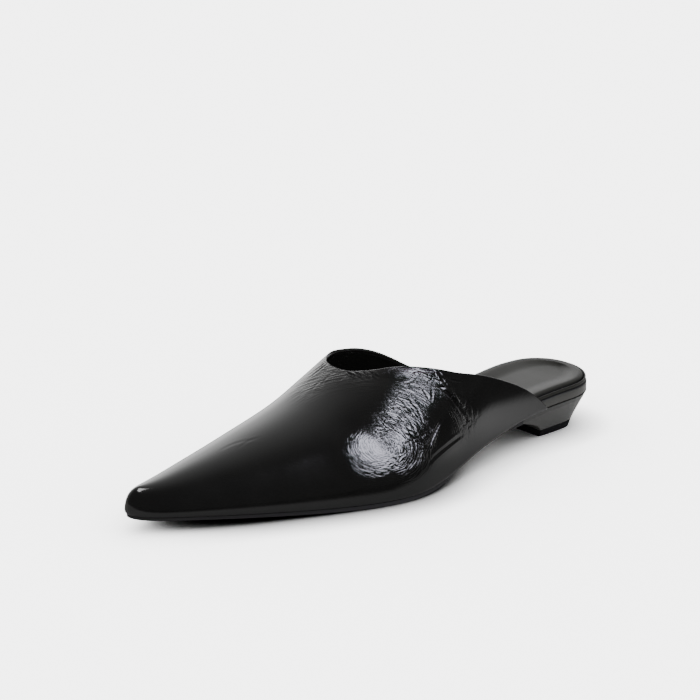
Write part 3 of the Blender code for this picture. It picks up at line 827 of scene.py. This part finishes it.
# %% [markdown]
# The finest crinkles are cells many times longer than wide. Round the flat facet they run in rings, and under
# the topline they run out like rays. Distance and angle from a place on the skin, each divided by the size of
# a cell, give a pattern that lies either way. They are kept on the mesh, because a shader can't know them.

# %% How the thin cells lie
OVAL, OVAL_END = (0.4126, 0.33), (0.4515, 0.317)  # place and rise of the flat facet, and where it points
OVAL_STRETCH = 1.4
FAN_START, FAN_END = (0.4850, 0.99), (0.6077, 0.46)
FAN_SHIFT, FAN_BLEND = 0.0030, 0.0060  # where the rings change into rays, beside the fan's line, in metres
CELL_ACROSS = 0.00115  # metres across a thin cell, and along it
CELL_ALONG = 0.0075
ROUND_RADIUS = 0.012  # where the cells have their full length
RISE_STEP = 0.02  # a short way up the skin
TINY = 1e-12  # keeps a length of zero from being divided by


def unit(vectors):
    """The same directions, one metre long."""
    return vectors / np.maximum(np.linalg.norm(vectors, axis=-1, keepdims=True), TINY)


def plane_at(start, towards):
    """A place on the outer skin, the direction from it to another, and the direction across that."""
    here, there = [upper_point(turn_of(place), rise, 0.0) for place, rise in (start, towards)]
    along = unit(there - here)
    up = upper_point(turn_of(start[0]), start[1] + RISE_STEP, 0.0) - here
    return here, along, unit(up - along * (up @ along))


def polar(points, plane, stretch):
    here, along, up = plane
    a, b = (points - here) @ along, (points - here) @ up * stretch
    return np.hypot(a, b), np.arctan2(b, a)


def ring_cells(points):
    """Cell coordinates that make thin cells run in rings round the facet."""
    radius, angle = polar(points, plane_at(OVAL, OVAL_END), OVAL_STRETCH)
    reach = ROUND_RADIUS / CELL_ALONG
    return np.stack([radius / CELL_ACROSS, reach * np.cos(angle), reach * np.sin(angle)], axis=1)


def ray_cells(points):
    """Cell coordinates that make thin cells run away from the top of the fan."""
    radius, angle = polar(points, plane_at(FAN_START, FAN_END), 1.0)
    reach = ROUND_RADIUS / CELL_ACROSS
    return np.stack([radius / CELL_ALONG, reach * np.cos(angle), reach * np.sin(angle)], axis=1)


def fan_of(points):
    """0 where the cells lie in rings, 1 where they lie in rays."""
    here, _, up = plane_at(FAN_START, FAN_END)
    beside = ((points - here) @ up + FAN_SHIFT) / FAN_BLEND
    return smooth_step(0.5 + beside) * (points[:, 0] > 0)


print("thin cells", CELL_ALONG * 1000, "by", CELL_ACROSS * 1000, "mm")

# %% [markdown]
# Now the skin itself. Each place is moved along its normal by the creases and waves that cross it. They fade
# out at the topline and above the sole, where the leather is held.

# %% Places of the skin, with its creases
THROAT_OPENS = 0.004  # share of LENGTH behind the throat over which the edge takes hold
CREASES_STOP = 0.0022  # metres from the topline over which the creases fade
WAVES_STOP = 0.0070
RELIEF_STARTS = 0.006  # metres above the sole
skin = upper_point(turns[:, None], np.linspace(0, 1, SKIN_ROWS + 1)[None, :], 0.0)
normals = np.cross(np.gradient(skin, axis=0), np.gradient(skin, axis=1))
normals[:, 0] = normals[:, 1]
normals = unit(normals)
if normals[OUTER_THROAT, SKIN_ROWS // 2, 0] < 0:
    normals = -normals
front = slice(INNER_THROAT, OUTER_THROAT + 1)
normals[front, -1] = unit(normals[front, -1] + normals[front, -1][::-1])

flat_skin = skin.reshape(-1, 3)
waves = swell_height(flat_skin).reshape(skin.shape[:2])
relief = sum(crease_height(flat_skin, row, side) for row, side in creases).reshape(skin.shape[:2])
rise_from_sole = skin[:, :, 2] - feather(share_of(turns))[:, None]
opening = smooth_step((share_of(turns) - THROAT) / THROAT_OPENS)[:, None]
from_top = np.linalg.norm(skin - skin[:, -1:], axis=2)
relief *= 1 - opening * (1 - smooth_step(from_top / CREASES_STOP))
waves *= 1 - opening * (1 - smooth_step(from_top / WAVES_STOP))
relief = (relief + waves) * smooth_step(rise_from_sole / RELIEF_STARTS)
skin = skin + normals * relief[:, :, None]
print("relief from", round(relief.min() * 1000, 2), "to", round(relief.max() * 1000, 2), "mm")

# %% [markdown]
# The cut edge of the leather is flat, with two soft corners. Just inside it a narrow strip with a raised cord
# binds the lining. Both are rows of the same grid, so the upper stays one closed wall.

# %% Places of the rim and the lining
RIM_ROUND = 0.00035
BINDING_END = 0.964  # rise at which the strip ends with its cord
BINDING_RAISED = 0.00035
BINDING_SPREAD = 0.006  # of the cord, as a rise
BINDING_ROWS = np.array([0.0, 0.012, 0.024, 0.032, 0.040, 0.050, 0.065])  # how far under the edge
LINING_TOP = 0.90  # rise at which the plain lining starts

plain_rises = np.linspace(LINING_TOP, 0, LINING_ROWS + 1 - len(BINDING_ROWS))
lining_rises = np.concatenate([1 - BINDING_ROWS, plain_rises])
bound = np.exp(-(((lining_rises - BINDING_END) / BINDING_SPREAD) ** 2)) * BINDING_RAISED
lining = upper_point(turns[:, None], lining_rises[None, :], UPPER_WALL + bound[None, :])
outside, inside = skin[:, -1], lining[:, 0]
middle = (outside + inside) / 2
through = outside - inside
edge_order = [*range(INNER_THROAT + 1), *range(OUTER_THROAT + 1, len(turns))]
edge_run = np.gradient(middle[edge_order], axis=0)
rim_up = np.zeros_like(middle)
rim_up[edge_order] = np.cross(edge_run, through[edge_order])
rim_up = unit(rim_up)
facing = np.sum(rim_up * (skin[:, -1] - skin[:, -2]), axis=1)
rim_up[facing < 0] *= -1
rim_up[OUTER_THROAT] = rim_up[INNER_THROAT] = (0.0, 1.0, 0.0)
half_wall = np.linalg.norm(through, axis=1)[:, None] / 2
rim = []
for side, angle in RIM_ANGLES:
    corner = math.radians(angle)
    out = side * (half_wall - RIM_ROUND * (1 - math.cos(corner)))
    rim.append(middle + through / (2 * half_wall) * out + rim_up * RIM_ROUND * math.sin(corner))
rim = np.stack(rim, axis=1)
upper_places = np.concatenate([lining[:, -1:], skin, rim, lining], axis=1)
print("upper's grid:", upper_places.shape[:2])

# %% The upper
RIM_START, RIM_END = 1 + SKIN_ROWS, 1 + SKIN_ROWS + RIM_ROWS


def over_the_throat(column, row):
    """The fold has no place in front of the throat, where the two sides are one leather."""
    return RIM_START < row < RIM_END and INNER_THROAT < column < OUTER_THROAT


bm = laid_sheet(upper_places, cut=over_the_throat)
upper = finished("upper_leather", bm, UPPER_LEATHER, smooth_angle=180)
points = np.empty(len(upper.data.vertices) * 3)
upper.data.vertices.foreach_get("co", points)
points = points.reshape(-1, 3)
for label, values in (("flex", flex_of(points)), ("fan", fan_of(points))):
    upper.data.attributes.new(label, "FLOAT", "POINT").data.foreach_set("value", values)
for label, values in (("rings", ring_cells(points)), ("rays", ray_cells(points))):
    upper.data.attributes.new(label, "FLOAT_VECTOR", "POINT").data.foreach_set("vector", values.ravel())
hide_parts("upper")

# %% [markdown]
# The footbed is a thin padded leather. A narrow strip runs round its edge, then a groove, then a rolled crest
# that falls to a dished middle. It is padded by little more than a millimetre, so its form is drawn as a
# height that depends on the distance from the edge. A blown-up cloth would lose the strip and the groove.

# %% Shape of the footbed
FOOTBED_EDGE = 0.0019  # height of the thin strip round the footbed
FOOTBED_TOE_EDGE = 0.0009
FOOTBED_ROLL = 0.0011  # height of the padded roll above that strip
FOOTBED_DISH = -0.0003  # how far the middle lies above the strip
FOOTBED_GROOVE = 0.0009
GROOVE_PLACE = 0.0013  # distance from the edge, and so are the roll's crest and its end
GROOVE_WIDTH = 0.00034
LINE_HALF_WIDTH = 0.00055  # of the black line of painted shade in the groove
STRIP_SHADE = 0.0008  # height of the dark line of painted shade under the strip
ROLL_CREST = 0.0042
ROLL_END = 0.0150
ROLL_STEEPNESS = 0.8
FOOTBED_INSET = BOARD_INSET + 0.0004
FOOTBED_TOE_INSET = 0.0016
EDGE_ROUND = 0.0004
RING_WIDTH = 0.0068  # of the rows that follow the edge
RING_CROWDING = 1.35
HIDDEN_SHARE = 0.02  # what is left of that width under the upper
BED_COLUMNS = 220
BED_EDGE_ROWS = 34
BED_MIDDLE_ROWS = 14


def board_top(share):
    start, end = BOARD_THICKENS
    more = smooth_step((share - start) / (end - start))
    return feather(share) + BOARD_TOE_THICKNESS + (BOARD_SEAT_THICKNESS - BOARD_TOE_THICKNESS) * more


def roll_shape(distance):
    """The padding's height at a distance from the edge: 0 at the groove, 1 at the crest, 0 past its end."""
    climb = np.clip((distance - GROOVE_PLACE) / (ROLL_CREST - GROOVE_PLACE), 0, 1)
    fall = 1 - smooth_step((distance - ROLL_CREST) / (ROLL_END - ROLL_CREST))
    return np.sin(np.pi / 2 * climb) ** ROLL_STEEPNESS * fall


def bed_top(share, distance, seat):
    edge = FOOTBED_TOE_EDGE + (FOOTBED_EDGE - FOOTBED_TOE_EDGE) * seat
    dish = FOOTBED_DISH * smooth_step((distance - GROOVE_PLACE) / (ROLL_END - GROOVE_PLACE))
    groove = FOOTBED_GROOVE * np.exp(-(((distance - GROOVE_PLACE) / GROOVE_WIDTH) ** 2))
    to_edge = 1 - np.clip(distance / EDGE_ROUND, 0, 1)
    round_edge = EDGE_ROUND * (1 - np.sqrt(np.clip(1 - to_edge**2, 0, 1)))
    padding = (FOOTBED_ROLL - FOOTBED_DISH) * roll_shape(distance) + dish
    return board_top(share) + GAP + edge + seat * (padding - groove) - round_edge * seat


def row_across(side, turns, inset, inward, height):
    """A row of places moved in from the outline, then by a share of the way to the other side."""
    x, y = outline(side * turns, inset)
    far_x, far_y = outline(-side * turns, inset)
    return np.stack([x + (far_x - x) * inward, y + (far_y - y) * inward, height], axis=-1)


# %% The footbed
bed_turns = np.linspace(0, 1, BED_COLUMNS + 1)
bed_share = share_of(bed_turns)
seat = smooth_step((bed_share - BOARD_THICKENS[0]) / (BOARD_THICKENS[1] - BOARD_THICKENS[0]))
edge_inset = FOOTBED_INSET + FOOTBED_TOE_INSET * (1 - smooth_step(bed_share / TREAD_BACK))
shown = HIDDEN_SHARE + (1 - HIDDEN_SHARE) * seat
middle_inset = edge_inset + RING_WIDTH * shown
x, y = outline(bed_turns, middle_inset)
far_x, far_y = outline(-bed_turns, middle_inset)
half_chord = np.hypot(far_x - x, far_y - y) / 2
insets = RING_WIDTH * np.linspace(0, 1, BED_EDGE_ROWS + 1) ** RING_CROWDING
low = board_top(bed_share) + GAP
halves = []
for side in (1, -1):
    half = [row_across(side, bed_turns, edge_inset, inward, low) for inward in (0.5, 0.25, 0.0)]
    half.append(row_across(side, bed_turns, edge_inset, 0.0, low + STRIP_SHADE * seat))
    for distance in insets:
        height = bed_top(bed_share, distance, seat)
        half.append(row_across(side, bed_turns, edge_inset + distance * shown, 0.0, height))
    for inward in np.linspace(0, 1, BED_MIDDLE_ROWS + 1)[1:]:
        height = bed_top(bed_share, RING_WIDTH + half_chord * inward, seat)
        half.append(row_across(side, bed_turns, middle_inset, inward / 2, height))
    halves.append(half)
outer_half, inner_half = halves
bed_places = np.stack(outer_half + inner_half[::-1][1:], axis=1)
footbed = finished("footbed_sock", laid_sheet(bed_places), FOOTBED_LEATHER, smooth_angle=60)

# %% The footbed's black lines of painted shade
# Painted shade: the leather is painted black along the groove and under the strip, where shadow falls between
# the layers. The groove itself is real.
line = np.exp(-(((insets - GROOVE_PLACE) / LINE_HALF_WIDTH) ** 2))
half_shade = [0.0, 0.0, 1.0, 0.0, *line, *[0.0] * BED_MIDDLE_ROWS]
bed_shade = np.array(half_shade + half_shade[::-1][1:]) * seat[:, None]
paint(footbed, "groove", bed_places.reshape(-1, 3), bed_shade.ravel())
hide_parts("footbed")
print("footbed's lines:", int((bed_shade > 0.5).sum()), "dark places")

# %% [markdown]
# The board under the footbed is wrapped in the same leather, so its two edges are round. Laid against the
# footbed's strip and the heel's cover, round edges leave the narrow grooves that show where pieces meet, and
# shade is painted black on these edges to make the grooves dark.

# %% The wrapped board
BOARD_ROUND = 0.0007
BOARD_COLUMNS = 220
ROUND_STEPS = 6
MIDDLE_STEPS = 3
SHADE_START = math.radians(12)  # how far round its edges the band keeps its colour before the painted shade starts
board_turns = np.linspace(0, 1, BOARD_COLUMNS + 1)
board_share = share_of(board_turns)
low, top = feather(board_share), board_top(board_share)
radius = np.minimum(BOARD_ROUND, (top - low) / 3)
arc = np.radians(np.linspace(0, 90, ROUND_STEPS + 1))
shares = np.linspace(1, 0, MIDDLE_STEPS + 1)[:-1] / 2
halves = []
for side in (1, -1):
    half = [row_across(side, board_turns, BOARD_INSET + radius, share, low) for share in shares]
    for middle, angles in ((low + radius, -arc[::-1]), (top - radius, arc)):
        for angle in angles:
            inset = BOARD_INSET + radius * (1 - math.cos(angle))
            half.append(row_across(side, board_turns, inset, 0.0, middle + radius * math.sin(angle)))
    half += [row_across(side, board_turns, BOARD_INSET + radius, share, top) for share in shares[::-1]]
    halves.append(half)
outer_half, inner_half = halves
board_places = np.stack(outer_half + inner_half[::-1][1:], axis=1)
board = finished("board_band", laid_sheet(board_places), BAND_LEATHER, smooth_angle=60)
# Painted shade: black on the band's round edges, where it meets the footbed and the heel.
edge_shade = smooth_step((arc - SHADE_START) / (math.pi / 2 - SHADE_START))
half_shade = [1.0] * MIDDLE_STEPS + [*edge_shade[::-1], *edge_shade] + [1.0] * MIDDLE_STEPS
board_shade = np.tile(half_shade + half_shade[::-1][1:], (BOARD_COLUMNS + 1, 1))
paint(board, "groove", board_places.reshape(-1, 3), board_shade.ravel())
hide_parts("insole_board")

# %% [markdown]
# The sole, the heel and its lift are already the right shape in the solids, so they stay and only get a
# finish: black edge dye, the grained cover leather and a matt rubber underneath.

# %% Finishes of the solids that stay
for node, finish in (
    ("outsole", SOLE_LEATHER),
    ("heel_block", HEEL_LEATHER),
    ("top_piece", LIFT_RUBBER),
):
    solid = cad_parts[node]
    solid.data.materials.clear()
    solid.data.materials.append(finish)
    print(node, "wears", finish.name)

# %% [markdown]
# A glossy black shoe is seen by what it mirrors. A photographer gives it a bright panel on the right, a soft
# wall behind on the left, and keeps the rest of the room dark. The floor and the backdrop are one pale grey.
# The world shader does the same: the camera sees the backdrop, dull surfaces get an even light, and glossy
# ones mirror a dark room with one strong glow and two weak ones.

# %% Backdrop, even light and the mirrored room
BACKDROP = 6.4
EVEN_LIGHT = 1.2
ROOM = 0.10
# Azimuth from the front, elevation, angular size in degrees, brightness
GLOWS = [
    (-115, 22, 36, 4.2),
    (-100, 82, 22, 0.35),
    (120, -30, 30, 0.10),
]

world = bpy.data.worlds.new("studio")
bpy.context.scene.world = world
world.use_nodes = True
tree = world.node_tree
tree.nodes.clear()
direction = tree.nodes.new("ShaderNodeTexCoord").outputs["Generated"]


def facing_vector(azimuth, elevation):
    """Azimuth 0 looks from the front of the shoe, and grows towards its outer side."""
    a, e = math.radians(azimuth), math.radians(elevation)
    return Vector((math.sin(a) * math.cos(e), -math.cos(a) * math.cos(e), math.sin(e)))


total = None
for azimuth, elevation, size, brightness in GLOWS:
    dot = tree.nodes.new("ShaderNodeVectorMath")
    dot.operation = "DOT_PRODUCT"
    dot.inputs[1].default_value = facing_vector(azimuth, elevation)
    tree.links.new(direction, dot.inputs[0])
    away = math_node(tree, "SUBTRACT", dot.outputs["Value"], 1.0)
    glow = math_node(tree, "EXPONENT", math_node(tree, "DIVIDE", away, 1 - math.cos(math.radians(size))))
    glow = math_node(tree, "MULTIPLY", glow, brightness)
    total = glow if total is None else math_node(tree, "ADD", total, glow)
room_light = math_node(tree, "ADD", total, ROOM)
path = tree.nodes.new("ShaderNodeLightPath")
seen = mix_node(tree, "FLOAT", path.outputs["Is Glossy Ray"], EVEN_LIGHT, room_light)
backdrop = mix_node(tree, "FLOAT", path.outputs["Is Camera Ray"], seen, BACKDROP)
background = tree.nodes.new("ShaderNodeBackground")
output = tree.nodes.new("ShaderNodeOutputWorld")
tree.links.new(backdrop, background.inputs["Strength"])
tree.links.new(background.outputs[0], output.inputs["Surface"])
print("world:", len(GLOWS), "glows")

# %% [markdown]
# The floor is one pale plane. The camera sees it as bright as the backdrop; where the shoe hides it from the
# room, a contact shadow is painted into its colour on top of the real shade, weaker under the lifted toe and
# the waist. In the gloss it is a white sheet that ends beside the shoe and is brighter behind it.

# %% Floor
FLOOR_HALF_SIZE = 4.0
FLOOR_FRONT, FLOOR_BACK = 0.55, 1.15  # how bright it is in reflections, before and behind the shoe
BACK_STARTS = (0.04, 0.13)  # where the one changes into the other
SHEET_EDGE = (0.075, 0.105)
FLOOR_DARK = 0.06  # its brightness beyond the sheet
CONTACT_REACH = 0.022
CONTACT_POWER, TOE_POWER = 3.6, 0.15  # how dark the painted shadow is, and how dark at the toe
TOE_SHADOW = (-0.135, -0.080)
WAIST_SHARE = 0.33  # of that power, under the waist
WAIST_SHADOW = (-0.010, 0.045)
floor_bm = bmesh.new()
bmesh.ops.create_grid(floor_bm, x_segments=1, y_segments=1, size=FLOOR_HALF_SIZE)
floor_mesh = bpy.data.meshes.new("floor")
floor_bm.to_mesh(floor_mesh)
floor_bm.free()
floor = in_scene("floor", floor_mesh)
floor_look = bpy.data.materials.new("pale_floor")
floor_look.use_nodes = True
tree = floor_look.node_tree
tree.nodes.clear()
apart = tree.nodes.new("ShaderNodeSeparateXYZ")
tree.links.new(object_place(tree), apart.inputs[0])


def fading(value, start, end, first, last):
    """A smooth change from first to last while the value goes from start to end."""
    node = tree.nodes.new("ShaderNodeMapRange")
    node.interpolation_type = "SMOOTHSTEP"
    for label, number in (("From Min", start), ("From Max", end), ("To Min", first), ("To Max", last)):
        node.inputs[label].default_value = number
    tree.links.new(value, node.inputs["Value"])
    return node.outputs["Result"]


along = fading(apart.outputs["Y"], *BACK_STARTS, FLOOR_FRONT, FLOOR_BACK)
sheet = fading(apart.outputs["X"], *SHEET_EDGE, 1.0, FLOOR_DARK)
# Painted shadow: the ambient occlusion, raised to a power, darkens the floor's colour for the camera.
hollow = tree.nodes.new("ShaderNodeAmbientOcclusion")
hollow.samples = 12
hollow.inputs["Distance"].default_value = CONTACT_REACH
under_toe = fading(apart.outputs["Y"], *TOE_SHADOW, TOE_POWER, CONTACT_POWER)
under_waist = fading(apart.outputs["Y"], *WAIST_SHADOW, 1.0, WAIST_SHARE)
painted_contact_shadow = math_node(tree, "POWER", hollow.outputs["AO"], math_node(tree, "MULTIPLY", under_toe, under_waist))
mirrored = math_node(tree, "MULTIPLY", along, sheet)
pictured = math_node(tree, "MULTIPLY", painted_contact_shadow, BACKDROP / EVEN_LIGHT)
path = tree.nodes.new("ShaderNodeLightPath")
matt = tree.nodes.new("ShaderNodeBsdfDiffuse")
output = tree.nodes.new("ShaderNodeOutputMaterial")
tone = mix_node(tree, "FLOAT", path.outputs["Is Camera Ray"], mirrored, pictured)
tree.links.new(tone, matt.inputs["Color"])
tree.links.new(matt.outputs[0], output.inputs["Surface"])
floor_mesh.materials.append(floor_look)
print("floor:", 2 * FLOOR_HALF_SIZE, "m wide")

# %% [markdown]
# The lit patch on the vamp is the mirror image of a bright panel, so the panel stands where the leather sends
# it to the camera. A small strip does the same for the toe. Both show in the gloss and nowhere else.

# %% The bright panel and the toe strip
PANEL_AT = Vector((0.030, -0.018, 0.034))  # the place on the vamp that mirrors it
PANEL_TURN = (106, 38)
PANEL_DISTANCE = 0.28
PANEL_SIZE = (0.13, 0.19)
PANEL_RADIANCE = 20.0
PANEL_COLOUR = (0.86, 0.86, 1.0)
TOE_STRIP_PLACE, TOE_AT = Vector((-0.005, -0.142, 0.120)), Vector((-0.010, -0.132, 0.018))
TOE_STRIP_SIZE = (0.02, 0.05)
TOE_STRIP_RADIANCE = 12.0
TOE_STRIP_COLOUR = (1.0, 1.0, 1.0)


def bright_panel(name, place, aim, size, radiance, colour):
    """A rectangle of light that shows only in the gloss."""
    light = bpy.data.lights.new(name, "AREA")
    light.shape = "RECTANGLE"
    light.size, light.size_y = size
    light.energy = radiance * math.pi * size[0] * size[1]
    light.color = colour
    made = in_scene(name, light)
    made.location = place
    made.rotation_euler = (aim - place).to_track_quat("-Z", "Y").to_euler()
    made.visible_diffuse = False
    made.visible_camera = False


panel_place = PANEL_AT + PANEL_DISTANCE * facing_vector(*PANEL_TURN)
bright_panel("panel", panel_place, PANEL_AT, PANEL_SIZE, PANEL_RADIANCE, PANEL_COLOUR)
bright_panel("toe_strip", TOE_STRIP_PLACE, TOE_AT, TOE_STRIP_SIZE, TOE_STRIP_RADIANCE, TOE_STRIP_COLOUR)
print("panel at", [round(value, 2) for value in panel_place])

# %% [markdown]
# The camera stands where the photograph was taken from, low and on the outer side of the toe.

# %% Camera
CAMERA_TURN = (49.75, 17.59)
CAMERA_PLACE = (0.8337 + float(AXIS_X), -0.8582 + (LENGTH - BOARD_INSET) / 2, 0.4118)
FOCAL_LENGTH = 122.27
lens = bpy.data.cameras.new("camera")
lens.sensor_width = 36.0
lens.lens = FOCAL_LENGTH
lens.clip_start = 0.05
camera = in_scene("camera", lens)
camera.location = CAMERA_PLACE
camera.rotation_euler = facing_vector(*CAMERA_TURN).to_track_quat("Z", "Y").to_euler()
bpy.context.scene.camera = camera
print("camera at", [round(value, 3) for value in CAMERA_PLACE])
